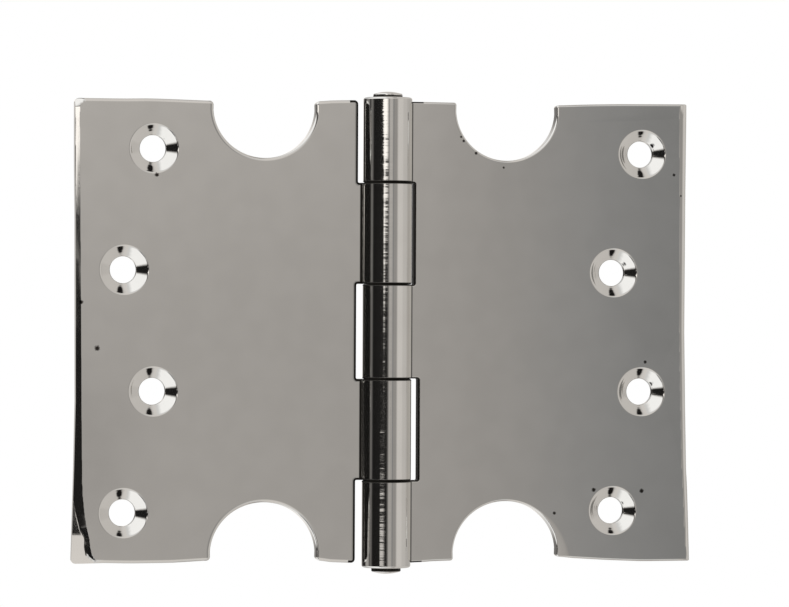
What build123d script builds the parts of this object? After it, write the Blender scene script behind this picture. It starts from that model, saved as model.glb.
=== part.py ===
from build123d import *
import os

os.makedirs("parts", exist_ok=True)

# Parliament hinge, opened out flat. The pin stands along +Z with the origin on its axis
# at mid height. The frame leaf lies towards +X and the door leaf towards -X, and the
# countersunk faces of both look towards -Y. All lengths are in millimetres.

# Leaves
leaf_height = 100.4
leaf_reach = 68.0  # pin axis to the outer edge of a leaf
leaf_thickness = 3.0
face_setback = 1.0  # pin axis to the countersunk faces, half the gap of the folded hinge
leaf_edge_round = 0.35

# Half-round cut-outs, two in each leaf
cutout_radius = 11.55
cutout_reach = 26.9  # pin axis to the middle of a cut-out
cutout_inset = 1.3  # the arc's centre lies this far inside the leaf's end
cutout_edge_bevel = 0.2

# Screw holes, in a zigzag of two columns
screw_hole_radius = 2.9
countersink_radius = 5.25
countersink_angle = 90
countersink_rim_bevel = 0.2
inner_column = 51.2  # pin axis to the column nearer the barrel
outer_column = 57.6
screw_pitch = 26.2  # from one hole to the next along the pin

# Barrel of five knuckles, three on the frame leaf and two on the door leaf
barrel_length = 102.0
barrel_radius = 5.35
centre_knuckle = 20.3
second_knuckle = 21.8
knuckle_gap = 0.3
knuckle_edge_bevel = 0.3
knuckle_root_fillet = 0.8  # where the leaf runs into its knuckle
notch_clearance = 1.3  # round the other leaf's knuckles

# Pin, tight in the frame leaf and free in the door leaf
pin_radius = 3.2
pin_stand = 0.5  # straight end standing out of the barrel
pin_dome = 0.5  # low dome on top of that end
running_clearance = 0.05

# Heights worked out from the driving sizes
centre_end = centre_knuckle / 2
second_start = centre_end + knuckle_gap
second_end = second_start + second_knuckle
outer_start = second_end + knuckle_gap
barrel_end = barrel_length / 2
leaf_end = leaf_height / 2
cutout_height = leaf_end - cutout_inset
screw_heights = [1.5 * screw_pitch, 0.5 * screw_pitch, -0.5 * screw_pitch, -1.5 * screw_pitch]

frame_knuckles = [(-barrel_end, -outer_start), (-centre_end, centre_end), (outer_start, barrel_end)]
door_knuckles = [(-second_end, -second_start), (second_start, second_end)]

notch_edge = barrel_radius + notch_clearance
leaf_back = face_setback + leaf_thickness
web_reach = notch_edge + leaf_thickness  # a web runs this far out, well into the plate
web_lap = knuckle_edge_bevel  # depth that a web runs into its knuckle, under the bevelled end


def screw_plane(x, z):
    # Plane on the countersunk face at one screw hole, looking out of the face
    return Plane(origin=(x, face_setback, z), x_dir=(1, 0, 0), z_dir=(0, -1, 0))


def make_leaf(side, knuckles, columns, bore_radius):
    # One leaf with its knuckles. Side is 1 for the leaf towards +X and -1 for the other
    with BuildPart() as leaf:
        # Plate with rounded edges, from the knuckle notches to the outer edge
        with BuildSketch(Plane.XZ.offset(-leaf_back)):
            with Locations((side * (notch_edge + leaf_reach) / 2, 0)):
                Rectangle(leaf_reach - notch_edge, leaf_height)
        extrude(amount=leaf_thickness)
        fillet(leaf.faces().filter_by(Axis.Y).edges(), radius=leaf_edge_round)

        # Half-round cut-outs, with their arcs slightly bevelled on both faces
        with BuildSketch(Plane.XZ.offset(-leaf_back)):
            with Locations((side * cutout_reach, cutout_height), (side * cutout_reach, -cutout_height)):
                Circle(cutout_radius)
        extrude(amount=leaf_thickness, mode=Mode.SUBTRACT)
        arcs = leaf.faces().filter_by(Axis.Y).edges().filter_by(GeomType.CIRCLE)
        chamfer(arcs, length=cutout_edge_bevel)

        # Countersunk screw holes
        places = [screw_plane(side * x, z) for x, z in zip(columns, screw_heights)]
        with Locations(*places):
            CounterSinkHole(
                radius=screw_hole_radius,
                counter_sink_radius=countersink_radius,
                depth=leaf_thickness,
                counter_sink_angle=countersink_angle,
            )
        front_edges = leaf.faces().sort_by(Axis.Y)[0].edges()
        rims = front_edges.filter_by(lambda edge: edge.is_closed)
        chamfer(rims, length=countersink_rim_bevel)

        # Knuckles, each a bevelled cylinder with a web that runs out into the plate
        for low, high in knuckles:
            web_low = max(low, -leaf_end)
            web_high = min(high, leaf_end)
            with BuildSketch(Plane.XY.offset(low)):
                Circle(barrel_radius)
            extrude(amount=high - low)
            ends = leaf.edges(Select.LAST).filter_by(GeomType.CIRCLE)
            chamfer(ends, length=knuckle_edge_bevel)
            with BuildSketch(Plane.XY.offset(web_low)) as web:
                Circle(barrel_radius)
                with Locations((side * web_reach / 2, face_setback + leaf_thickness / 2)):
                    Rectangle(web_reach, leaf_thickness)
                roots = web.vertices().filter_by(
                    lambda corner: corner.Y > 0 and abs(corner.X) < barrel_radius
                )
                fillet(roots, radius=knuckle_root_fillet)
                Circle(barrel_radius - web_lap, mode=Mode.SUBTRACT)
            extrude(amount=web_high - web_low)

        # Bore for the pin
        with BuildSketch(Plane.XY.offset(-barrel_end)):
            Circle(bore_radius)
        extrude(amount=barrel_length, mode=Mode.SUBTRACT)
    return leaf


frame_leaf = make_leaf(
    1,
    frame_knuckles,
    [outer_column, inner_column, outer_column, inner_column],
    pin_radius,
)
frame_leaf.part.label = "frame_leaf"

door_leaf = make_leaf(
    -1,
    door_knuckles,
    [inner_column, outer_column, inner_column, outer_column],
    pin_radius + running_clearance,
)
door_leaf.part.label = "door_leaf"

# Pin with a low dome at each end, turned about its axis
dome_start = barrel_end + pin_stand
dome_top = dome_start + pin_dome
with BuildPart() as hinge_pin:
    with BuildSketch(Plane.XZ):
        with BuildLine():
            Line((0, -dome_top), (0, dome_top))
            Line((pin_radius, -dome_start), (pin_radius, dome_start))
            for end in (-1, 1):
                TangentArc((0, end * dome_top), (pin_radius, end * dome_start), tangent=(1, 0))
        make_face()
    revolve(axis=Axis.Z)
hinge_pin.part.label = "hinge_pin"

export_step(frame_leaf.part, "parts/frame_leaf.step")
export_step(door_leaf.part, "parts/door_leaf.step")
export_step(hinge_pin.part, "parts/hinge_pin.step")
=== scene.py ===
import bmesh
import bpy
import math
from mathutils import Matrix, Vector, noise


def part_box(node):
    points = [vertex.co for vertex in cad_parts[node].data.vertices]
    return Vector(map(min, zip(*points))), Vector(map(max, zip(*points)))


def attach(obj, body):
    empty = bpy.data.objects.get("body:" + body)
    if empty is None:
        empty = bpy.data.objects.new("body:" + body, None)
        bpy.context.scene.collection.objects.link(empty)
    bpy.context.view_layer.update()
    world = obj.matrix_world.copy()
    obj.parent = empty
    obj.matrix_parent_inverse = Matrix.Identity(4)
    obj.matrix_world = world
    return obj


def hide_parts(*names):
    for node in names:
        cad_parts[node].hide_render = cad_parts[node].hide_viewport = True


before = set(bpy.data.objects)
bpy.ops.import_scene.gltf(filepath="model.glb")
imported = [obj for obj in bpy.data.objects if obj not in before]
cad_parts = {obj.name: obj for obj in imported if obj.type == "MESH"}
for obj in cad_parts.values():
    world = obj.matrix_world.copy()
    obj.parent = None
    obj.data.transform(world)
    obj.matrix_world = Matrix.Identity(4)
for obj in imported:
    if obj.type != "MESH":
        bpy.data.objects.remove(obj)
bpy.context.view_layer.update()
print("frame loaded")

mm = 0.001
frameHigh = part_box("frame_leaf")[1]
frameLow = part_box("frame_leaf")[0]
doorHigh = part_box("door_leaf")[1]
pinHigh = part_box("hinge_pin")[1]

# sizes are in millimetres, and come from the frame where it has them
holdingEdge = 0.03  # a narrow flat beside each rounding, which keeps the face next to it flat
barrel = {
    "radius": -frameLow.y / mm,
    "top": frameHigh.z / mm - 0.1,
    "bottom": frameLow.z / mm - 0.35,
    "boreRadius": 3.23,
    # the knuckles stand end to end, with only a rounded groove between them
    "centreEnd": 10.28,
    "secondStart": 10.32,
    "secondEnd": 32.38,
    "outerStart": 32.42,
    "endRound": 0.3,  # at the joints
    "outerRound": 0.5,  # at the two ends of the barrel
    "boreBevel": 0.15,
    "markFade": (5.6, 5.4),  # its painted shade with some dirt, and its turned lines, end between these distances from the pin axis
    "plateMarkStart": (5.36, 5.42),  # and the painted shade with some dirt on the plates starts between these
    "segments": 160,
}
leaf = {
    "reach": frameHigh.x / mm,
    "halfHeight": doorHigh.z / mm,
    "front": 1.0,  # countersunk face
    "back": 4.0,
    "tabEnd": 3.05,  # a tab runs in to here, inside its knuckle
    "tabSetback": 0.03,  # keeps a tab just inside the ends of its knuckle
    "edgeRound": 0.35,  # depth of the rounded edges
    "roundSteps": 6,
    # the outline's points between the notches and the outer edge
    "firstStep": 9.0,
    "besideArc": 1.5,
    "besideCorner": 2.0,
    "shortSteps": 3,
    "longSteps": 12,
    "edgeSteps": 20,
    "bowStart": 36.0,  # the ends' bow grows from this height
}
rootFillet = {
    "round": 0.8,
    "sink": 0.002,  # so far inside the faces that it joins
    "depth": 0.5,
    "innerShare": 0.62,  # of the barrel's radius
    "steps": 10,
}
cutout = {"upperRadius": 11.35, "lowerRadius": 11.75, "reach": 26.9, "inset": 1.3, "segments": 56}
screwHole = {
    "innerColumn": 51.2,
    "outerColumn": 57.6,
    "pitch": 26.2,
    "count": 4,
    "boreRadius": 2.9,
    "rimRadius": 5.25,
    "rimRound": 0.7,
    "coneFall": (0.8, 0.6),  # depth against radius, at the rim and at the bore
    "boreEdge": 0.06,
    "backBevel": (0.2, 0.15),
    "chatter": 0.008,  # depth of the uneven rings that the bit leaves
    "ringSpacing": 0.45,
    "coneRings": 22,
    "roundSteps": 4,
    "segments": 96,
    "above": 1.0,  # the cutter stands out of the plate by this much
}


def arcPoints(centre, radius, startAngle, endAngle, segments):
    points = []
    for i in range(segments + 1):
        angle = math.radians(startAngle + (endAngle - startAngle) * i / segments)
        points.append(Vector((centre[0] + radius * math.cos(angle), centre[1] + radius * math.sin(angle))))
    return points


def roundCorners(points, outerRadius, innerRadius, steps=5, leastTurn=40):
    # puts an arc in place of each corner that turns by more than leastTurn; the inner corners,
    # in the notches, stay tighter, so that the other leaf's knuckle webs pass them
    rounded = []
    for i, here in enumerate(points):
        toPrevious = points[i - 1] - here
        toNext = points[(i + 1) % len(points)] - here
        inside = toPrevious.angle(toNext)
        if math.degrees(math.pi - inside) < leastTurn:
            rounded.append(here)
            continue
        radius = outerRadius if toNext.cross(toPrevious) > 0 else innerRadius
        middle = (toPrevious.normalized() + toNext.normalized()).normalized()
        centre = here + middle * radius / math.sin(inside / 2)
        start = here + toPrevious.normalized() * radius / math.tan(inside / 2) - centre
        end = here + toNext.normalized() * radius / math.tan(inside / 2) - centre
        for k in range(steps + 1):
            angle = (math.pi - inside) * k / steps
            share = math.sin(angle) / math.sin(math.pi - inside)
            rest = math.sin(math.pi - inside - angle) / math.sin(math.pi - inside)
            rounded.append(centre + start * rest + end * share)
    return rounded


def insetLoop(points, distance, mitreLimit=0.3):
    # moves each point of a counterclockwise loop inwards along its mitre
    moved = []
    for i, here in enumerate(points):
        before = (here - points[i - 1]).normalized()
        after = (points[(i + 1) % len(points)] - here).normalized()
        normalBefore = Vector((-before.y, before.x))
        normalAfter = Vector((-after.y, after.x))
        mitre = (normalBefore + normalAfter).normalized()
        moved.append(here + mitre * distance / max(mitreLimit, mitre.dot(normalBefore)))
    return moved


def along(start, end, steps):
    return [start + (end - start) * k / steps for k in range(steps + 1)]


def between(value, table):
    # straight lines through a table of (place, value) pairs
    for (a, first), (c, second) in zip(table, table[1:]):
        if value <= c:
            t = max(0.0, (value - a) / (c - a))
            return first + (second - first) * t
    return table[-1][1]


def leafOutline(tabs, notchEdges, shape):
    # counterclockwise loop of a leaf that reaches towards +X, its height along the second axis
    top, reach = leaf["halfHeight"], leaf["reach"]
    arcHeight = top - cutout["inset"]
    arcs = []
    for level, radius in ((-arcHeight, cutout["lowerRadius"]), (arcHeight, cutout["upperRadius"])):
        overrun = math.degrees(math.asin(cutout["inset"] / radius))
        arcs.append(arcPoints((cutout["reach"], level), radius, -180 - overrun, overrun, cutout["segments"]))
    # the first short steps beside each lip are left out, to make room for its rounding
    arcs = [arc[:1] + arc[3:-3] + arc[-1:] for arc in arcs]
    lower = [Vector((p.x, -2 * arcHeight - p.y)) for p in arcs[0]]
    upper = list(reversed(arcs[1]))
    firstStep, lastStep, beside = leaf["firstStep"], reach - leaf["besideCorner"], leaf["besideArc"]
    points = [Vector((leaf["tabEnd"] if tabs[-1][0] <= -top else notchEdges[-1], -top))]
    points += [Vector((x, -top)) for x in along(firstStep, lower[0].x - beside, leaf["shortSteps"])]
    points += lower
    points += [Vector((x, -top)) for x in along(lower[-1].x + beside, lastStep, leaf["longSteps"])]
    points += [Vector((reach + between(z, shape["outerBow"]), z)) for z in along(-top, top, leaf["edgeSteps"])]
    points += [Vector((x, top)) for x in along(lastStep, upper[0].x + beside, leaf["longSteps"])]
    points += upper
    points += [Vector((x, top)) for x in along(upper[-1].x - beside, firstStep, leaf["shortSteps"])]
    # down the inner side, in to each tab and out to each notch
    level = top
    notch = 0
    for low, high in tabs:
        if high < top:
            points += [Vector((notchEdges[notch], level)), Vector((notchEdges[notch], high))]
            notch += 1
        points += [Vector((leaf["tabEnd"], min(high, top))), Vector((leaf["tabEnd"], max(low, -top)))]
        level = low
    if level > -top:
        points.append(Vector((notchEdges[notch], level)))
    else:
        points.pop()
    # the ends were filed by hand, so they bow in and out a little
    for p in points:
        table = shape["topBow"] if p.y > 0 else shape["bottomBow"]
        share = max(0.0, (abs(p.y) - leaf["bowStart"]) / (top - leaf["bowStart"]))
        p.y += between(p.x, table) * share * (1 if p.y > 0 else -1)
    return points


def rimProfile(width, depth, steps):
    # a quarter round from the broad face, width along the face and depth into the plate
    profile = [(width + holdingEdge, 0.0)]
    for k in range(steps + 1):
        angle = math.pi / 2 * k / steps
        profile.append((width * (1 - math.sin(angle)), depth * (1 - math.cos(angle))))
    return profile


def leafPlate(name, side, tabs, notchEdges, shape):
    outline = leafOutline(tabs, notchEdges, shape)
    outline = roundCorners(outline, shape["cornerRound"], shape["notchRound"])
    depth, steps = leaf["edgeRound"], leaf["roundSteps"]
    rings = [(inset, leaf["front"] + down) for inset, down in rimProfile(shape["faceRound"], depth, steps)]
    rings += [(inset, leaf["back"] - up) for inset, up in reversed(rimProfile(depth, depth, steps))]
    bm = bmesh.new()
    loops = []
    for inset, y in rings:
        loop = insetLoop(outline, inset)
        loops.append([bm.verts.new((side * p.x * mm, y * mm, p.y * mm)) for p in loop])
    bm.faces.new(loops[0])
    bm.faces.new(list(reversed(loops[-1])))
    for first, second in zip(loops, loops[1:]):
        for i in range(len(first)):
            j = (i + 1) % len(first)
            bm.faces.new((first[j], first[i], second[i], second[j]))
    return finishMesh(name, bm)


def finishMesh(name, bm):
    bmesh.ops.recalc_face_normals(bm, faces=bm.faces)
    for face in bm.faces:
        face.smooth = True
    mesh = bpy.data.meshes.new(name)
    bm.to_mesh(mesh)
    bm.free()
    piece = bpy.data.objects.new(name, mesh)
    bpy.context.scene.collection.objects.link(piece)
    return piece


def addLathe(bm, profile, segments, axis="Z", closed=False):
    # turns a profile of (radius, height) points about an axis; radius 0 makes a pole
    rings = []
    for radius, height in profile:
        ring = []
        for i in range(segments if radius > 0 else 1):
            angle = 2 * math.pi * i / segments
            a, b = radius * math.cos(angle), radius * math.sin(angle)
            place = (a, b, height) if axis == "Z" else (a, height, b)
            ring.append(bm.verts.new(Vector(place) * mm))
        rings.append(ring)
    pairs = list(zip(rings, rings[1:]))
    if closed:
        pairs.append((rings[-1], rings[0]))
    for first, second in pairs:
        for i in range(segments):
            j = (i + 1) % segments
            corners = [first[i % len(first)], first[j % len(first)]]
            corners += [second[j % len(second)], second[i % len(second)]]
            unique = [corner for k, corner in enumerate(corners) if corner not in corners[:k]]
            bm.faces.new(unique)


def roundedEnd(radius, end, rounding, direction, steps=5):
    # quarter round from the side of a turned piece on to its end; direction is 1 for an upper end
    points = []
    for k in range(steps + 1):
        angle = math.pi / 2 * k / steps
        inward, back = rounding * (1 - math.cos(angle)), rounding * (1 - math.sin(angle))
        points.append((radius - inward, end - direction * back))
    points.append((radius - rounding - holdingEdge, end))
    return points


def knuckles(name, ranges):
    # tubes with rounded ends, one for each height range
    bm = bmesh.new()
    bore, bevel = barrel["boreRadius"], barrel["boreBevel"]
    boreEdge = bore + bevel + holdingEdge
    for low, high in ranges:
        lowRound = barrel["outerRound" if low == barrel["bottom"] else "endRound"]
        highRound = barrel["outerRound" if high == barrel["top"] else "endRound"]
        profile = list(reversed(roundedEnd(barrel["radius"], low, lowRound, -1)))
        profile += roundedEnd(barrel["radius"], high, highRound, 1)
        profile += [(boreEdge, high), (bore + bevel, high), (bore, high - bevel)]
        profile += [(bore, low + bevel), (bore + bevel, low), (boreEdge, low)]
        addLathe(bm, profile, barrel["segments"], closed=True)
    return finishMesh(name, bm)


def rootFillets(name, side, ranges):
    # the concave run from the back of the leaf into each knuckle
    radius, root, sink = barrel["radius"], rootFillet["round"], rootFillet["sink"]
    back = leaf["back"] - sink
    centre = Vector((math.sqrt((radius + root) ** 2 - (back + root) ** 2), back + root))
    startAngle = math.degrees(math.atan2(-centre.y, -centre.x))
    section = arcPoints(centre, root + sink, startAngle - 3, -87, rootFillet["steps"])
    deep = back - rootFillet["depth"]
    section += [Vector((centre.x + 0.1, deep)), Vector((radius * rootFillet["innerShare"], deep))]
    bm = bmesh.new()
    for low, high in ranges:
        low = max(low, -leaf["halfHeight"]) + leaf["edgeRound"]
        high = min(high, leaf["halfHeight"]) - leaf["edgeRound"]
        lower = [bm.verts.new(Vector((side * p.x, p.y, low)) * mm) for p in section]
        upper = [bm.verts.new(Vector((side * p.x, p.y, high)) * mm) for p in section]
        bm.faces.new(lower)
        bm.faces.new(list(reversed(upper)))
        for i in range(len(section)):
            j = (i + 1) % len(section)
            bm.faces.new((lower[i], lower[j], upper[j], upper[i]))
    return finishMesh(name, bm)


def countersinkCutter():
    # what the countersink bit takes away, turned about Y, the leaf's face at height 0
    rim, rounding, bore = screwHole["rimRadius"], screwHole["rimRound"], screwHole["boreRadius"]
    thickness, (fall, lastFall) = leaf["back"] - leaf["front"], screwHole["coneFall"]
    coneAngle = math.atan(fall)

    def coneDepth(radius):
        share = (rim - radius) / (rim - bore)
        return (rim - bore) * share * (fall + (lastFall - fall) * share / 2)

    # out of the plate, round the rim, down the cone and through the bore; the first point of the
    # rim lies a hair above the face, so that the cut has a clean edge
    above, steps, rings, edge = (screwHole[key] for key in ("above", "roundSteps", "coneRings", "boreEdge"))
    tangent = rounding * math.tan(coneAngle / 2)
    outer = rim + tangent
    profile = [(0, -above), (outer + 0.3, -above), (outer + 0.3, -0.02)]
    for k in range(steps + 1):
        angle = coneAngle * k / steps
        profile.append((outer - rounding * math.sin(angle), rounding * (1 - math.cos(angle)) if k else -0.0006))
    start, end = rim - tangent * math.cos(coneAngle), bore + edge
    for k in range(1, rings + 1):
        radius = start + (end - start) * k / rings
        profile.append((radius, coneDepth(radius)))
    bevelOut, bevelIn = screwHole["backBevel"]
    profile += [(bore, coneDepth(bore) + edge), (bore, thickness - bevelIn)]
    profile += [(bore + bevelOut, thickness + 0.05), (bore + bevelOut, thickness + above), (0, thickness + above)]
    bm = bmesh.new()
    addLathe(bm, profile, screwHole["segments"], axis="Y")
    for vert in bm.verts:
        radius = math.hypot(vert.co.x, vert.co.z) / mm
        if end < radius < start and 0 < vert.co.y < (thickness - 0.3) * mm:
            outward = Vector((vert.co.x, vert.co.z)) / (radius * mm)
            uneven = noise.noise(Vector((*(outward * 1.3), radius / screwHole["ringSpacing"])))
            hold = min(1.0, (start - radius) / 0.3)  # none at the rim
            vert.co.y += screwHole["chatter"] * mm * uneven * hold
    return finishMesh("countersinkCutter", bm)


def wornPatch(name, xRange, zRange, columns, rows, depthAt, highest=0.9, cover=1.2):
    # what polishing has taken off the face, down to depthAt(x, z) below it; where that stands above
    # the face, up to highest, nothing is taken
    bm = bmesh.new()
    surface, lid = [], []
    for r in range(rows + 1):
        z = zRange[0] + (zRange[1] - zRange[0]) * r / rows
        surface.append([])
        lid.append([])
        for c in range(columns + 1):
            x = xRange[0] + (xRange[1] - xRange[0]) * c / columns
            depth = max(-highest, depthAt(x, z))
            surface[-1].append(bm.verts.new(Vector((x, leaf["front"] + depth, z)) * mm))
            lid[-1].append(bm.verts.new(Vector((x, leaf["front"] - cover, z)) * mm))
    for grid in (surface, lid):
        for r in range(rows):
            for c in range(columns):
                bm.faces.new((grid[r][c], grid[r][c + 1], grid[r + 1][c + 1], grid[r + 1][c]))
    border = [(0, c) for c in range(columns)] + [(r, columns) for r in range(rows)]
    border += [(rows, c) for c in range(columns, 0, -1)] + [(r, 0) for r in range(rows, 0, -1)]
    for i, (r, c) in enumerate(border):
        rNext, cNext = border[(i + 1) % len(border)]
        bm.faces.new((surface[r][c], surface[rNext][cNext], lid[rNext][cNext], lid[r][c]))
    return finishMesh(name, bm)


def addNode(tree, kind, links=(), **settings):
    # links pairs an input's name or number with a socket or a value
    node = tree.nodes.new(kind)
    for key, value in settings.items():
        setattr(node, key, value)
    for key, value in dict(links).items():
        if isinstance(value, bpy.types.NodeSocket):
            tree.links.new(value, node.inputs[key])
        else:
            node.inputs[key].default_value = value
    return node


def mathNode(tree, operation, first, second=None, third=None):
    values = {0: first}
    if second is not None:
        values[1] = second
    if third is not None:
        values[2] = third
    return addNode(tree, "ShaderNodeMath", values, operation=operation).outputs[0]


def fromTo(tree, value, low, high, first=0.0, last=1.0, kind="LINEAR"):
    # first at low, last at high, and held beyond them
    ends = {"From Min": low, "From Max": high, "To Min": first, "To Max": last}
    return addNode(tree, "ShaderNodeMapRange", {"Value": value, **ends}, interpolation_type=kind).outputs["Result"]


def smoothStep(tree, value, low, high):
    return fromTo(tree, value, low, high, kind="SMOOTHSTEP")


def mixFloat(tree, share, first, second):
    return addNode(tree, "ShaderNodeMix", {0: share, 2: first, 3: second}, data_type="FLOAT").outputs[0]


def mixColour(tree, share, first, second):
    first, second = ((*colour, 1) if isinstance(colour, tuple) else colour for colour in (first, second))
    return addNode(tree, "ShaderNodeMix", {0: share, 6: first, 7: second}, data_type="RGBA").outputs[2]


def objectPlace(tree):
    return addNode(tree, "ShaderNodeTexCoord").outputs["Object"]


def awayFromAxis(tree, place):
    # distance from the pin axis
    flat = addNode(tree, "ShaderNodeVectorMath", {0: place, 1: (1, 1, 0)}, operation="MULTIPLY").outputs[0]
    return addNode(tree, "ShaderNodeVectorMath", {0: flat}, operation="LENGTH").outputs["Value"]


def onBarrel(tree, place):
    # 1 on the barrel and 0 on the plates
    outside, inside = barrel["markFade"]
    return fromTo(tree, awayFromAxis(tree, place), outside * mm, inside * mm)


def noiseOf(tree, place, scale, detail=1.0, roughness=0.5):
    links = {"Vector": place, "Scale": scale, "Detail": detail, "Roughness": roughness}
    return addNode(tree, "ShaderNodeTexNoise", links).outputs["Fac"]


def ramp(tree, value, stops):
    node = addNode(tree, "ShaderNodeValToRGB", {"Fac": value})
    band = node.color_ramp
    while len(band.elements) < len(stops):
        band.elements.new(0.5)
    # places first, because a stop that passes another changes places with it in the list
    for element, (position, level) in zip(band.elements, stops):
        element.position = position
    for element, (position, level) in zip(band.elements, stops):
        element.position = position
        element.color = (level, level, level, 1)
    return node.outputs["Color"]


def leafTree():
    # knuckles joined on, screw holes and worn places cut
    tree = bpy.data.node_groups.new("hingeLeaf", "GeometryNodeTree")
    face = tree.interface
    face.new_socket("Geometry", in_out="INPUT", socket_type="NodeSocketGeometry")
    for name, kind in [
        ("Knuckles", "NodeSocketObject"),
        ("Root Fillets", "NodeSocketObject"),
        ("Countersink", "NodeSocketObject"),
        ("Worn Edge", "NodeSocketObject"),
        ("Metal", "NodeSocketMaterial"),
        ("Top Hole Column", "NodeSocketFloat"),
        ("Next Hole Column", "NodeSocketFloat"),
        ("Hole Pitch", "NodeSocketFloat"),
        ("Face", "NodeSocketFloat"),
        ("Hole Count", "NodeSocketInt"),
    ]:
        face.new_socket(name, in_out="INPUT", socket_type=kind)
    face.new_socket("Geometry", in_out="OUTPUT", socket_type="NodeSocketGeometry")
    given = addNode(tree, "NodeGroupInput").outputs

    def meshOf(name):
        info = addNode(tree, "GeometryNodeObjectInfo", {"Object": given[name]}, transform_space="RELATIVE")
        return info.outputs["Geometry"]

    # holes in a zigzag of two columns, evenly down the leaf
    index = addNode(tree, "GeometryNodeInputIndex").outputs[0]
    pitches = mathNode(tree, "SUBTRACT", given["Hole Count"], 1)
    topHeight = mathNode(tree, "MULTIPLY", mathNode(tree, "MULTIPLY", pitches, 0.5), given["Hole Pitch"])
    height = mathNode(tree, "SUBTRACT", topHeight, mathNode(tree, "MULTIPLY", index, given["Hole Pitch"]))
    isNext = mathNode(tree, "MODULO", index, 2)
    column = mixFloat(tree, isNext, given["Top Hole Column"], given["Next Hole Column"])
    place = addNode(tree, "ShaderNodeCombineXYZ", {"X": column, "Y": given["Face"], "Z": height}).outputs[0]
    line = addNode(tree, "GeometryNodeMeshLine", {"Count": given["Hole Count"]}).outputs["Mesh"]
    holes = addNode(tree, "GeometryNodeSetPosition", {"Geometry": line, "Position": place}).outputs["Geometry"]
    # each turned differently, so that the bit's marks differ
    turn = mathNode(tree, "MULTIPLY_ADD", column, 60.0, index)
    turn = addNode(tree, "ShaderNodeCombineXYZ", {"Y": turn}).outputs[0]
    turn = addNode(tree, "FunctionNodeEulerToRotation", {"Euler": turn}).outputs[0]
    bits = {"Points": holes, "Instance": meshOf("Countersink"), "Rotation": turn}
    cutters = addNode(tree, "GeometryNodeInstanceOnPoints", bits).outputs["Instances"]
    cutters = addNode(tree, "GeometryNodeRealizeInstances", {"Geometry": cutters}).outputs["Geometry"]

    drilled = addNode(tree, "GeometryNodeMeshBoolean", operation="DIFFERENCE", solver="EXACT")
    tree.links.new(given["Geometry"], drilled.inputs["Mesh 1"])
    tree.links.new(cutters, drilled.inputs["Mesh 2"])
    worn = addNode(tree, "GeometryNodeMeshBoolean", operation="DIFFERENCE", solver="EXACT")
    tree.links.new(drilled.outputs["Mesh"], worn.inputs["Mesh 1"])
    tree.links.new(meshOf("Worn Edge"), worn.inputs["Mesh 2"])
    joined = addNode(tree, "GeometryNodeJoinGeometry")
    for socket in (worn.outputs["Mesh"], meshOf("Knuckles"), meshOf("Root Fillets")):
        tree.links.new(socket, joined.inputs[0])
    whole = addNode(tree, "GeometryNodeRealizeInstances", {"Geometry": joined.outputs[0]}).outputs["Geometry"]
    dressed = addNode(tree, "GeometryNodeSetMaterial", {"Geometry": whole, "Material": given["Metal"]})
    addNode(tree, "NodeGroupOutput", {"Geometry": dressed.outputs["Geometry"]})
    return tree


def evaluatedMesh(piece):
    bpy.context.view_layer.update()
    graph = bpy.context.evaluated_depsgraph_get()
    return bpy.data.meshes.new_from_object(piece.evaluated_get(graph))


def assembleLeaf(plate, tree, values):
    modifier = plate.modifiers.new("hingeLeaf", "NODES")
    modifier.node_group = tree
    for item in tree.interface.items_tree:
        if item.in_out == "INPUT" and item.name in values:
            modifier[item.identifier] = values[item.name]
    mesh = evaluatedMesh(plate)
    plate.modifiers.clear()
    plate.data = mesh
    settleNormals(plate)
    return plate


def settleNormals(piece, sharpAngle=33):
    # broad faces stay exactly flat and their rounded edges run smoothly out of them
    mesh = piece.data
    mesh.shade_smooth()
    mesh.set_sharp_from_angle(angle=math.radians(sharpAngle))
    weighted = piece.modifiers.new("settle", "WEIGHTED_NORMAL")
    weighted.mode = "FACE_AREA"
    weighted.weight = 50
    weighted.keep_sharp = True
    piece.data = evaluatedMesh(piece)
    piece.modifiers.clear()


def softWaves():
    # slow unevenness left by the polishing wheel, and a fine grain
    grainPerMetre = 2600.0
    group = bpy.data.node_groups.new("softWaves", "ShaderNodeTree")
    group.interface.new_socket("Wave Size", in_out="INPUT", socket_type="NodeSocketFloat")
    group.interface.new_socket("Height", in_out="OUTPUT", socket_type="NodeSocketFloat")
    group.interface.new_socket("Grain", in_out="OUTPUT", socket_type="NodeSocketFloat")
    given = addNode(group, "NodeGroupInput").outputs
    place = objectPlace(group)
    slow = noiseOf(group, place, mathNode(group, "DIVIDE", 1.0, given["Wave Size"]))
    grain = noiseOf(group, place, grainPerMetre, detail=2.0, roughness=0.6)
    addNode(group, "NodeGroupOutput", {"Height": slow, "Grain": grain})
    return group


def pitMark():
    # a small dark pit at one place on a leaf, with a ragged edge
    raggedPerMetre = 3000.0
    group = bpy.data.node_groups.new("pitMark", "ShaderNodeTree")
    group.interface.new_socket("Centre", in_out="INPUT", socket_type="NodeSocketVector")
    group.interface.new_socket("Radius", in_out="INPUT", socket_type="NodeSocketFloat")
    group.interface.new_socket("Mask", in_out="OUTPUT", socket_type="NodeSocketFloat")
    given = addNode(group, "NodeGroupInput").outputs
    place = objectPlace(group)
    ragged = noiseOf(group, place, raggedPerMetre)
    toCentre = addNode(group, "ShaderNodeVectorMath", {0: place, 1: given["Centre"]}, operation="DISTANCE")
    reach = mathNode(group, "MULTIPLY", given["Radius"], mathNode(group, "ADD", ragged, 0.5))
    share = mathNode(group, "DIVIDE", toCentre.outputs["Value"], reach)
    addNode(group, "NodeGroupOutput", {"Mask": fromTo(group, share, 1.15, 0.6)})
    return group


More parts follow.
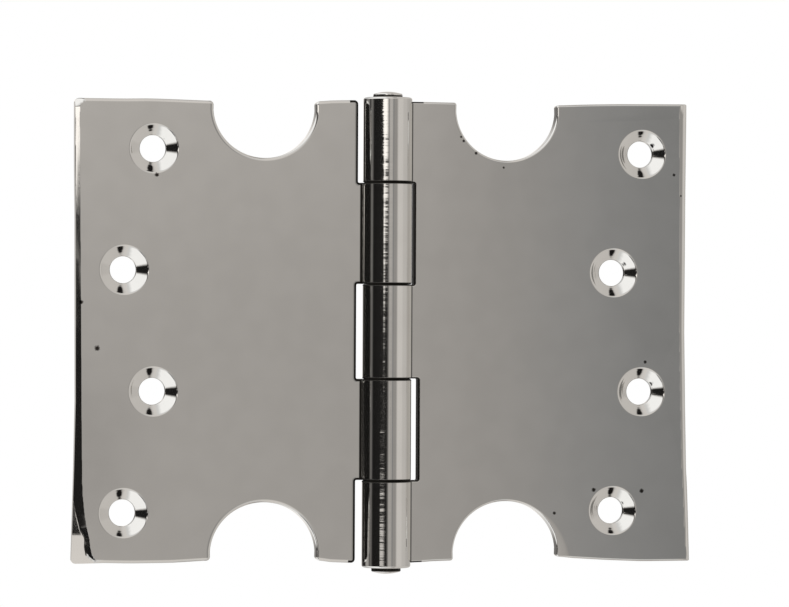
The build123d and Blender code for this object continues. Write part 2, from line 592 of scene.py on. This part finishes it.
def turnedLines():
    # fine lines and slower waves that run round the turned barrel, told apart by height along the pin
    acrossShare = 0.12  # the pattern changes this much more slowly round the barrel
    group = bpy.data.node_groups.new("turnedLines", "ShaderNodeTree")
    for name in ("Lines Per Metre", "Line Height", "Waves Per Metre", "Wave Height"):
        group.interface.new_socket(name, in_out="INPUT", socket_type="NodeSocketFloat")
    group.interface.new_socket("Height", in_out="OUTPUT", socket_type="NodeSocketFloat")
    given = addNode(group, "NodeGroupInput").outputs
    place = objectPlace(group)
    shares = {0: place, 1: (acrossShare, acrossShare, 1.0)}
    stretched = addNode(group, "ShaderNodeVectorMath", shares, operation="MULTIPLY").outputs[0]
    fine = noiseOf(group, stretched, given["Lines Per Metre"], detail=2.0)
    slow = noiseOf(group, stretched, given["Waves Per Metre"])
    fineHeight = mathNode(group, "MULTIPLY", fine, given["Line Height"])
    height = mathNode(group, "MULTIPLY_ADD", slow, given["Wave Height"], fineHeight)
    height = mathNode(group, "MULTIPLY", height, onBarrel(group, place))
    addNode(group, "NodeGroupOutput", {"Height": height})
    return group


def jointShadeAndGrime():
    # painted shade, with some dark oil and dust, in rings round the pin axis, at equal heights above and below a
    # middle
    group = bpy.data.node_groups.new("jointShadeAndGrime", "ShaderNodeTree")
    for name in ("Middle", "Inner Height", "Outer Height", "Half Width", "Fade"):
        group.interface.new_socket(name, in_out="INPUT", socket_type="NodeSocketFloat")
    group.interface.new_socket("Mask", in_out="OUTPUT", socket_type="NodeSocketFloat")
    given = addNode(group, "NodeGroupInput").outputs
    place = objectPlace(group)
    level = addNode(group, "ShaderNodeSeparateXYZ", {0: place}).outputs["Z"]
    height = mathNode(group, "ABSOLUTE", mathNode(group, "SUBTRACT", level, given["Middle"]))
    toInner = mathNode(group, "ABSOLUTE", mathNode(group, "SUBTRACT", height, given["Inner Height"]))
    toOuter = mathNode(group, "ABSOLUTE", mathNode(group, "SUBTRACT", height, given["Outer Height"]))
    past = mathNode(group, "SUBTRACT", mathNode(group, "MINIMUM", toInner, toOuter), given["Half Width"])
    ring = mathNode(group, "SUBTRACT", 1.0, mathNode(group, "DIVIDE", past, given["Fade"]))
    ring = addNode(group, "ShaderNodeClamp", {"Value": ring}).outputs[0]
    mask = mathNode(group, "MULTIPLY", ring, onBarrel(group, place))
    addNode(group, "NodeGroupOutput", {"Mask": mask})
    return group


def cornerShadeAndGrime():
    # the same painted shade with some dirt, in the corner between leaf and barrel and on the walls of the notches
    group = bpy.data.node_groups.new("cornerShadeAndGrime", "ShaderNodeTree")
    for name in ("Corner Reach", "Notch Reach", "Face", "Back"):
        group.interface.new_socket(name, in_out="INPUT", socket_type="NodeSocketFloat")
    group.interface.new_socket("Mask", in_out="OUTPUT", socket_type="NodeSocketFloat")
    given = addNode(group, "NodeGroupInput").outputs
    place = objectPlace(group)
    parts = addNode(group, "ShaderNodeSeparateXYZ", {0: place}).outputs
    away = awayFromAxis(group, place)
    offBarrel = smoothStep(group, away, *(distance * mm for distance in barrel["plateMarkStart"]))
    cornerEnd = mathNode(group, "ADD", given["Corner Reach"], 0.2 * mm)
    corner = smoothStep(group, away, cornerEnd, given["Corner Reach"])
    depth = mathNode(group, "SUBTRACT", parts["Y"], given["Face"])
    onWall = smoothStep(group, depth, 0.003 * mm, 0.03 * mm)
    nearBarrel = mathNode(group, "LESS_THAN", mathNode(group, "ABSOLUTE", parts["X"]), given["Notch Reach"])
    wall = mathNode(group, "MULTIPLY", onWall, nearBarrel)
    notBack = mathNode(group, "LESS_THAN", parts["Y"], given["Back"])
    mask = mathNode(group, "MULTIPLY", offBarrel, notBack)
    mask = mathNode(group, "MULTIPLY", mathNode(group, "MAXIMUM", corner, wall), mask)
    addNode(group, "NodeGroupOutput", {"Mask": mask})
    return group


def useGroup(tree, group, links=()):
    node = addNode(tree, "ShaderNodeGroup", node_tree=group)
    for key, value in dict(links).items():
        node.inputs[key].default_value = value
    return node.outputs


plateMetal = {
    "colour": (0.70, 0.69, 0.665),
    "stainedColour": (0.68, 0.67, 0.645),  # slow clouds in the plating
    "pitColour": (0.04, 0.035, 0.03),
    # painted shade, with some dirt, for the joints and corners, and the roughness that goes with it
    "shadeGrimeColour": (0.025, 0.023, 0.02),
    "roughness": (0.035, 0.08),
    "shadeGrimeRoughness": 0.5,
    "waveSize": 20 * mm,
    "waveHeight": 0.02 * mm,
    "cloudSize": 6 * mm,
    "linesPerMetre": 1500.0,
    "lineHeight": 0.008 * mm,
    "wavesPerMetre": 420.0,
    "ringWaveHeight": 0.018 * mm,
}
jointRings = {
    "Middle": 0.0, "Inner Height": 10.3 * mm, "Outer Height": 32.4 * mm, "Half Width": 0.31 * mm, "Fade": 0.1 * mm,
}
pinEndHeight = 51.37 * mm
pinEndRings = {
    "Middle": -0.4 * mm, "Inner Height": pinEndHeight, "Outer Height": pinEndHeight, "Half Width": 0.32 * mm,
    "Fade": 0.1 * mm,
}
# painted shade, with some dirt, in the joints between knuckles and in the corners by the barrel
leafShadeAndGrime = {
    "rings": [jointRings],
    "corners": {"Corner Reach": 5.85 * mm, "Notch Reach": 8.2 * mm, "Face": leaf["front"] * mm, "Back": 3.9 * mm},
}
# painted shade, with some dirt, in the joints and where each end of the pin meets the barrel
pinShadeAndGrime = {"rings": [{**jointRings, "Half Width": 0.6 * mm}, pinEndRings]}


def metalMaterial(name, groups, look, shadeAndGrime, pits=()):
    material = bpy.data.materials.new(name)
    material.use_nodes = True
    tree = material.node_tree
    tree.nodes.clear()
    waves = useGroup(tree, groups["waves"], {"Wave Size": look["waveSize"]})
    clouds = useGroup(tree, groups["waves"], {"Wave Size": look["cloudSize"]})["Height"]
    lines = useGroup(tree, groups["lines"], {
        "Lines Per Metre": look["linesPerMetre"], "Line Height": look["lineHeight"],
        "Waves Per Metre": look["wavesPerMetre"], "Wave Height": look["ringWaveHeight"],
    })["Height"]
    # painted shade in the joints and corners, with some dirt
    shadeAndDirt = 0.0
    for rings in shadeAndGrime["rings"]:
        shadeAndDirt = mathNode(tree, "MAXIMUM", useGroup(tree, groups["joints"], rings)["Mask"], shadeAndDirt)
    if "corners" in shadeAndGrime:
        shadeAndDirt = mathNode(tree, "MAXIMUM", shadeAndDirt, useGroup(tree, groups["corners"], shadeAndGrime["corners"])["Mask"])
    colour = mixColour(tree, fromTo(tree, clouds, 0.35, 0.65), look["colour"], look["stainedColour"])
    pitted = 0.0
    for (x, z), radius in pits:
        spot = {"Centre": Vector((x, leaf["front"], z)) * mm, "Radius": radius * mm}
        pitted = mathNode(tree, "MAXIMUM", useGroup(tree, groups["pit"], spot)["Mask"], pitted)
    if pits:
        colour = mixColour(tree, pitted, colour, look["pitColour"])
    # painted shade, with some dirt, darkens the joints and corners
    colour = mixColour(tree, shadeAndDirt, colour, look["shadeGrimeColour"])
    low, high = look["roughness"]
    rough = fromTo(tree, waves["Grain"], 0.0, 1.0, low, high)
    rough = mixFloat(tree, shadeAndDirt, rough, look["shadeGrimeRoughness"])
    relief = mathNode(tree, "MULTIPLY_ADD", waves["Height"], look["waveHeight"], lines)
    bump = addNode(tree, "ShaderNodeBump", {"Height": relief, "Strength": 1.0, "Distance": 1.0}).outputs["Normal"]
    shader = addNode(tree, "ShaderNodeBsdfPrincipled", {
        "Base Color": colour, "Metallic": 1.0, "Roughness": rough, "Normal": bump,
    }).outputs[0]
    addNode(tree, "ShaderNodeOutputMaterial", {"Surface": shader})
    return material


# the joint and corner groups paint shade, with some dirt, between the parts
groups = {
    "waves": softWaves(), "pit": pitMark(), "lines": turnedLines(), "joints": jointShadeAndGrime(), "corners": cornerShadeAndGrime(),
}
# pits, each with its place on the face and its radius
frameMetal = metalMaterial("polishedFrameLeaf", groups, plateMetal, leafShadeAndGrime, [
    ((16.6, 42.6), 0.25), ((17.2, 41.7), 0.32), ((20.0, 39.1), 0.35), ((26.2, 36.0), 0.26),
    ((64.9, 34.8), 0.35), ((66.5, 30.2), 0.22), ((58.5, -6.5), 0.38), ((46.9, -34.7), 0.48),
    ((57.8, -35.0), 0.5), ((38.0, -39.8), 0.38),
])
doorMetal = metalMaterial("polishedDoorLeaf", groups, plateMetal, leafShadeAndGrime, [
    ((-50.6, 33.6), 0.5), ((-66.9, 6.1), 0.45), ((-63.4, -3.8), 0.6),
])
pinMetal = metalMaterial("turnedPin", groups, plateMetal, pinShadeAndGrime)
print("materials made")

# the knuckles of each leaf, from the top down
frameRanges = [
    (barrel["outerStart"], barrel["top"]),
    (-barrel["centreEnd"], barrel["centreEnd"]),
    (barrel["bottom"], -barrel["outerStart"]),
]
doorRanges = [(barrel["secondStart"], barrel["secondEnd"]), (-barrel["secondEnd"], -barrel["secondStart"])]


def tabsOf(ranges):
    setback = leaf["tabSetback"]
    return [(low + setback, high - setback) for low, high in ranges]


# outlines as filed, outwards positive: the outer edge against height, the ends against reach
doorShape = {
    "outerBow": [
        (-50.2, 0.7), (-45.0, 0.55), (-32.0, 0.2), (-15.0, -0.1), (6.5, 0.0), (25.0, 0.08), (36.5, 0.25), (50.2, 0.3),
    ],
    "topBow": [
        (7.0, 0.12), (12.0, 0.0), (15.0, -0.25), (40.0, -0.45), (46.0, -0.28), (52.0, -0.15), (58.0, -0.28),
        (68.0, -0.28),
    ],
    "bottomBow": [
        (7.0, 0.2), (12.0, 0.0), (15.0, -0.45), (40.0, -0.5), (47.0, -0.12), (56.0, -0.05), (62.0, -0.2), (68.0, 0.0),
    ],
    "faceRound": 0.75,  # width of the rounding on the face
    "cornerRound": 0.85,
    "notchRound": 0.3,
}
frameShape = {
    "outerBow": [
        (-50.2, 1.0), (-43.5, 0.78), (-35.0, 0.5), (-30.5, 0.22), (-18.0, -0.05), (0.0, -0.34), (32.0, -0.24),
        (50.2, -0.1),
    ],
    "topBow": [(7.0, -0.05), (15.0, -0.1), (39.0, -0.35), (45.0, -0.08), (52.0, 0.1), (68.0, 0.28)],
    "bottomBow": [
        (6.0, 0.35), (10.0, 0.0), (15.0, -0.15), (39.0, -0.85), (42.0, -0.5), (50.0, 0.0), (58.0, 0.33), (68.0, 0.28),
    ],
    "faceRound": 0.45,
    "cornerRound": 0.55,
    "notchRound": 0.3,
}

# where polishing has rolled the door leaf's outer edge off, each against the height
doorEdge = {
    # the line that it starts from, as a distance from the pin axis
    "crease": [
        (-50.3, 62.7), (-50.0, 63.0), (-49.0, 63.75), (-48.0, 64.35), (-46.4, 64.72), (-44.7, 64.87), (-42.3, 65.5),
        (-39.4, 65.95), (-36.0, 66.3), (-32.0, 66.5), (-18.0, 66.7), (0.0, 66.85), (25.0, 67.1), (46.0, 67.3),
        (48.6, 67.2), (49.4, 66.0), (50.4, 65.9),
    ],
    # in degrees
    "tilt": [
        (-50.3, 20.0), (-49.0, 20.0), (-47.4, 22.5), (-46.0, 24.0), (-44.7, 25.0), (-42.6, 25.0), (-40.0, 28.0),
        (-36.0, 31.0), (-5.0, 29.0), (5.0, 21.0), (15.0, 14.0), (25.0, 11.5), (48.6, 10.5), (49.4, 15.0), (50.4, 15.0),
    ],
    "curl": [(-10.0, 0.0), (25.0, 0.02), (46.0, 0.09)],  # how much steeper it gets towards the edge
    # a flatter facet at the lower corner, as its depth at facetReach from the pin axis
    "facet": [
        (-50.3, 0.72), (-48.0, 0.61), (-43.9, 0.47), (-43.2, 0.475), (-41.0, 0.53), (-38.0, 0.61), (-36.0, 0.67),
        (-34.0, 1.5),
    ],
    "facetReach": 66.0,
    "facetSlope": 0.25,
}
# the frame leaf's outer edge, against the height
frameEdge = {
    "width": [(-50.3, 0.9), (-44.0, 1.2), (10.0, 1.4), (30.0, 1.5), (46.0, 1.8)],
    "fall": 0.5,
}
frameCorner = {
    # width of the buffed place against the angle round the lower cut-out
    "width": [(-12.0, 3.4), (0.0, 2.8), (15.0, 2.0), (35.0, 1.3), (52.0, 0.6), (60.0, 0.0)],
    "tilt": 2.0,
}
untouched = -0.3  # a depth that takes nothing off


def doorWear(x, z):
    slope = math.tan(math.radians(between(z, doorEdge["tilt"])))
    inside = -x - between(z, doorEdge["crease"])
    rolled = inside * slope + max(0.0, inside) ** 2 * between(z, doorEdge["curl"])
    facet = between(z, doorEdge["facet"]) + (-x - doorEdge["facetReach"]) * doorEdge["facetSlope"]
    return min(rolled, facet)


def frameWear(x, z):
    # a quarter of an ellipse, which ends a little before the edge and runs on steeply past it
    width, fall = between(z, frameEdge["width"]), frameEdge["fall"]
    edge = leaf["reach"] + between(z, frameShape["outerBow"]) - 0.1
    share = (x - (edge - width)) / width
    if share <= 0:
        return -0.05 + share * 0.3 if share > -0.2 else -0.2
    if share >= 1:
        return fall + (share - 1) * 4
    return fall * (1 - math.sqrt(1 - share ** 2))


def frameCornerWear(x, z):
    # the lower cut-out's outer corner, buffed down
    centre = Vector((cutout["reach"], cutout["inset"] - leaf["halfHeight"]))
    offset = Vector((x, z)) - centre
    angle = math.degrees(math.atan2(offset.y, offset.x))
    width = between(angle, frameCorner["width"])
    if width <= 0:
        return untouched
    share = 1 - (offset.length - cutout["lowerRadius"]) / width
    return share * abs(share) * width * math.tan(math.radians(frameCorner["tilt"]))


tree = leafTree()
cutter = countersinkCutter()
helpers = [cutter]


def buildLeaf(name, side, ranges, notchEdges, shape, worn, metal, topColumn, nextColumn):
    plate = leafPlate(name, side, tabsOf(ranges), notchEdges, shape)
    tubes = knuckles(name + "Knuckles", ranges)
    roots = rootFillets(name + "Roots", side, ranges)
    helpers.extend([tubes, roots, worn])
    return assembleLeaf(plate, tree, {
        "Knuckles": tubes, "Root Fillets": roots, "Countersink": cutter, "Worn Edge": worn, "Metal": metal,
        "Top Hole Column": side * topColumn * mm, "Next Hole Column": side * nextColumn * mm,
        "Hole Pitch": screwHole["pitch"] * mm, "Face": leaf["front"] * mm, "Hole Count": screwHole["count"],
    })


def joinWorn(name, patches):
    bm = bmesh.new()
    for patch in patches:
        bm.from_mesh(patch.data)
        bpy.data.objects.remove(patch)
    return finishMesh(name, bm)


reach = leaf["reach"]
patchHeights = (-51.5, 51.5)
frameWorn = joinWorn("frameWorn", [
    wornPatch("frameEdgeWorn", (reach - 2.4, reach + 1.6), patchHeights, 50, 24, frameWear),
    wornPatch("frameCornerWorn", (33.0, 42.6), (-51.5, -36.5), 60, 90, frameCornerWear),
])
doorWorn = wornPatch("doorWorn", (-reach - 1.2, -62.0), patchHeights, 60, 206, doorWear)

# notch edges run from the top down, as distances from the pin axis
inner, outer = screwHole["innerColumn"], screwHole["outerColumn"]
frameNotches, doorNotches = [6.3, 7.3], [6.3, 6.58, 6.65]
frameLeaf = buildLeaf("frameLeaf", 1, frameRanges, frameNotches, frameShape, frameWorn, frameMetal, outer, inner)
print("frame leaf built:", len(frameLeaf.data.polygons), "faces")
doorLeaf = buildLeaf("doorLeaf", -1, doorRanges, doorNotches, doorShape, doorWorn, doorMetal, inner, outer)
print("door leaf built:", len(doorLeaf.data.polygons), "faces")
for helper in helpers:
    bpy.data.objects.remove(helper)

pinSizes = {
    "radius": 3.2,
    "top": pinHigh.z / mm + 0.2,
    "bottom": -pinHigh.z / mm - 0.75,
    "dome": 0.6,
    "domeFall": 0.8,  # the dome falls by this share of its height, and the rounded edge by the rest
    "edge": 0.12,
    "steps": 10,
    "segments": 96,
}


def buildPin():
    radius, dome, edge, steps = (pinSizes[key] for key in ("radius", "dome", "edge", "steps"))
    domeHeight = dome * pinSizes["domeFall"]
    domeShape = [((radius - edge) * k / steps, domeHeight * (k / steps) ** 2) for k in range(steps + 1)]
    domeShape += [(radius - holdingEdge, dome + 0.02), (radius, dome + edge)]
    profile = [(r, pinSizes["top"] - down) for r, down in domeShape]
    profile += [(radius, 0.0)]
    profile += [(r, pinSizes["bottom"] + up) for r, up in reversed(domeShape)]
    bm = bmesh.new()
    addLathe(bm, profile, pinSizes["segments"])
    piece = finishMesh("pin", bm)
    piece.data.materials.append(pinMetal)
    settleNormals(piece)
    return piece


pin = buildPin()
print("pin built")

for piece, node, body, slot in [
    (frameLeaf, "frame_leaf", "frame_side", "polished_plate"),
    (doorLeaf, "door_leaf", "door_side", "polished_plate"),
    (pin, "hinge_pin", "frame_side", "pin_steel"),
]:
    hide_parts(node)
    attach(piece, body)

# the stage is in metres
floor = {"height": -0.085, "radius": 0.3, "fadeFrom": 0.16, "colour": (0.86, 0.86, 0.86)}


def buildFloor():
    bm = bmesh.new()
    bmesh.ops.create_circle(bm, cap_ends=True, segments=96, radius=floor["radius"])
    for vert in bm.verts:
        vert.co.z = floor["height"]
    piece = finishMesh("floorDisc", bm)
    material = bpy.data.materials.new("paleFloor")
    material.use_nodes = True
    nodes = material.node_tree
    nodes.nodes.clear()
    fade = smoothStep(nodes, awayFromAxis(nodes, objectPlace(nodes)), floor["fadeFrom"], floor["radius"])
    pale = addNode(nodes, "ShaderNodeBsdfDiffuse", {"Color": (*floor["colour"], 1)}).outputs[0]
    clear = addNode(nodes, "ShaderNodeBsdfTransparent").outputs[0]
    # the metal looks past the floor, which keeps the object's shadow
    seenThrough = mathNode(nodes, "MAXIMUM", fade, addNode(nodes, "ShaderNodeLightPath").outputs["Is Glossy Ray"])
    shader = addNode(nodes, "ShaderNodeMixShader", {0: seenThrough, 1: pale, 2: clear}).outputs[0]
    addNode(nodes, "ShaderNodeOutputMaterial", {"Surface": shader})
    piece.data.materials.append(material)
    return piece


buildFloor()

# the studio as levels by direction, for what the metal mirrors; angles are degrees from straight
# in front (-Y) towards +X, and heights are degrees above the horizon
studio = {
    "around": [
        (-180, 1.0), (-174, 0.65), (-171, 0.42), (-168, 0.2), (-158, 0.15), (-150, 0.03), (-104, 0.012),
        (-97, 0.1), (-92, 0.19), (-86, 0.15), (-80, 0.02), (-74, 0.012), (-12, 0.02), (-7, 0.12), (-3.5, 0.34),
        (0, 0.49), (31.5, 0.36), (35, 0.47), (39, 0.68), (42, 0.73), (63, 0.72), (69, 0.64), (88, 0.62),
        (94, 0.56), (108, 0.52), (142, 0.53), (150, 0.8), (160, 1.0), (180, 1.0),
    ],
    "ahead": [
        (0, 0.495), (4, 0.50), (8, 0.485), (9.2, 0.472), (10.7, 0.455), (12.2, 0.445), (13.2, 0.405),
        (14, 0.369), (14.6, 0.339), (15.1, 0.308), (15.5, 0.283), (16.2, 0.27), (17.6, 0.27), (19, 0.36),
        (30, 0.36),
    ],
    "aheadRange": (0, 30),
    "aboveAndBelow": [
        (-180, 0.6), (-135, 0.7), (-115, 1.25), (-35, 1.25), (-18, 0.85), (15, 0.8), (30, 0.66), (100, 0.70),
        (150, 0.6), (180, 0.6),
    ],
    "offLevel": (9.0, 18.0),
    # lit panels: where each rises and falls round the circle, its level, the heights where it fades in,
    # the heights, up or down, where it ends, and a slant of its rising side
    "panels": [
        {"rise": (-22, -17), "fall": (-19, -1), "level": 1.45, "heights": (1.5, 1.9), "slant": 4.5},
        {"rise": (-31, -27), "fall": (-24, -19), "level": 1.15, "heights": (-0.3, 1.5)},
        {"rise": (-44, -39), "fall": (-30, -16), "level": 0.75, "heights": (-2.6, -3.1), "end": (6.0, 4.4)},
        {"rise": (-27, -23), "fall": (-17, -10), "level": 0.85, "heights": (-4.5, -5.3), "end": (30.0, 20.0)},
        {"rise": (-138, -126), "fall": (-112, -100), "level": 0.28, "heights": (1.5, 2.2)},
        {"rise": (-130, -118), "fall": (-106, -94), "level": 0.45, "heights": (-1.9, -2.6)},
    ],
    "panelEnd": (8.0, 5.0),  # for those that name none
    "lift": {"height": 2.8, "share": 1.15, "until": (11.5, 14.0)},  # more light from higher up, on the left
    "shade": {"from": (2.0, 5.0), "until": (8.9, 8.0), "heights": (-0.4, -1.4, -2.5, -3.0), "share": 0.86},
    "warm": (1.043, 1.0, 0.96),
    # two parts aren't warm: this one, and above and below the band on the left
    "neutral": (13.0, 15.3, 17.5, 19.0),
    "neutralUntil": (10.0, -20.0),
    # unlit parts: near straight up, near straight down, and low on the left
    "gaps": [
        {"centre": (0.31, -0.26, 0.915), "radius": (0.17, 0.09)},
        {"centre": (0.31, -0.26, -0.915), "radius": (0.17, 0.09)},
        {"centre": (-0.598, -0.752, -0.276), "radius": (0.13, 0.1)},
        {"centre": (-0.446, -0.742, -0.5), "radius": (0.24, 0.18)},
    ],
    "gapLevel": 0.012,
    "plain": 0.85,
}


def buildWorld():
    world = bpy.data.worlds.new("studio")
    bpy.context.scene.world = world
    world.use_nodes = True
    tree = world.node_tree
    tree.nodes.clear()
    direction = addNode(tree, "ShaderNodeTexCoord").outputs["Generated"]
    parts = addNode(tree, "ShaderNodeSeparateXYZ", {0: direction}).outputs
    forward = mathNode(tree, "MULTIPLY", parts["Y"], -1.0)
    azimuth = mathNode(tree, "DEGREES", mathNode(tree, "ARCTAN2", parts["X"], forward))
    elevation = mathNode(tree, "DEGREES", mathNode(tree, "ARCSINE", parts["Z"]))

    def levels(table, low, high):
        share = fromTo(tree, azimuth, low, high)
        return ramp(tree, share, [((angle - low) / (high - low), level) for angle, level in table])

    def times(*values):
        product = values[0]
        for value in values[1:]:
            product = mathNode(tree, "MULTIPLY", product, value)
        return product

    # the band round the horizon
    low, high = studio["aheadRange"]
    isAhead = times(mathNode(tree, "GREATER_THAN", azimuth, low), mathNode(tree, "LESS_THAN", azimuth, high))
    band = mixFloat(tree, isAhead, levels(studio["around"], -180, 180), levels(studio["ahead"], low, high))
    lift, shade = studio["lift"], studio["shade"]
    rise = fromTo(tree, elevation, 0.0, lift["height"], 1.0, lift["share"])
    band = times(band, mixFloat(tree, smoothStep(tree, azimuth, *lift["until"]), rise, 1.0))
    start, deep, shallow, end = shade["heights"]
    shaded = times(
        smoothStep(tree, azimuth, *shade["until"]), smoothStep(tree, azimuth, *shade["from"]),
        smoothStep(tree, elevation, start, deep), smoothStep(tree, elevation, end, shallow),
    )
    band = times(band, mixFloat(tree, shaded, 1.0, shade["share"]))
    offHorizon = mathNode(tree, "ABSOLUTE", elevation)
    for panel in studio["panels"]:
        leant = mathNode(tree, "MULTIPLY_ADD", elevation, panel.get("slant", 0.0), azimuth)
        lit = times(
            smoothStep(tree, leant, *panel["rise"]), smoothStep(tree, azimuth, *reversed(panel["fall"])),
            smoothStep(tree, elevation, *panel["heights"]),
            smoothStep(tree, offHorizon, *panel.get("end", studio["panelEnd"])), panel["level"],
        )
        band = mathNode(tree, "MAXIMUM", band, lit)

    # above and below it
    offLevel = smoothStep(tree, offHorizon, *studio["offLevel"])
    level = mixFloat(tree, offLevel, band, levels(studio["aboveAndBelow"], -180, 180))
    for gap in studio["gaps"]:
        toGap = addNode(tree, "ShaderNodeVectorMath", {0: direction, 1: gap["centre"]}, operation="DISTANCE")
        unlit = smoothStep(tree, toGap.outputs["Value"], *gap["radius"])
        level = mixFloat(tree, unlit, level, studio["gapLevel"])

    # warm light, but for the neutral parts; other rays see plain light, and the camera a white background
    white = (1, 1, 1)
    start, full, fullEnd, end = studio["neutral"]
    neutral = times(smoothStep(tree, azimuth, start, full), smoothStep(tree, azimuth, end, fullEnd))
    onLeft = times(offLevel, smoothStep(tree, azimuth, *studio["neutralUntil"]))
    tint = mixColour(tree, mathNode(tree, "MAXIMUM", neutral, onLeft), studio["warm"], white)
    rays = addNode(tree, "ShaderNodeLightPath").outputs
    mirror = rays["Is Glossy Ray"]
    tint = mixColour(tree, mirror, white, tint)
    level = mixFloat(tree, mirror, studio["plain"], level)
    level = mixFloat(tree, rays["Is Camera Ray"], level, 1.0)
    light = addNode(tree, "ShaderNodeBackground", {"Color": tint, "Strength": level}).outputs[0]
    addNode(tree, "ShaderNodeOutputWorld", {"Surface": light})


buildWorld()
print("studio made")

# the photograph's view, in degrees, metres and pixels
view = {
    "azimuth": -11.94,
    "elevation": 0.215,
    "roll": 0.249,
    "distance": 0.9337,
    "pixelsPerMm": 4.594,
    "originU": 386.93,
    "originV": 331.51,
    "width": 789,
    "height": 607,
    "sensor": 36.0,
}


def placeCamera():
    azimuth, elevation, roll = (math.radians(view[key]) for key in ("azimuth", "elevation", "roll"))
    level = math.cos(elevation)
    back = Vector((math.sin(azimuth) * level, -math.cos(azimuth) * level, math.sin(elevation)))
    turn = back.to_track_quat("Z", "Y").to_matrix() @ Matrix.Rotation(roll, 3, "Z")
    camera = bpy.data.objects.new("camera", bpy.data.cameras.new("camera"))
    bpy.context.scene.collection.objects.link(camera)
    camera.matrix_world = Matrix.Translation(back * view["distance"]) @ turn.to_4x4()
    focalPixels = view["pixelsPerMm"] * view["distance"] / mm
    camera.data.sensor_width = view["sensor"]
    camera.data.lens = focalPixels * view["sensor"] / view["width"]
    camera.data.shift_x = (view["width"] / 2 - view["originU"]) / view["width"]
    camera.data.shift_y = (view["originV"] - view["height"] / 2) / view["width"]
    camera.data.clip_start = 0.01
    bpy.context.scene.camera = camera


placeCamera()
bpy.context.scene.view_settings.view_transform = "Standard"

print("scene ready")
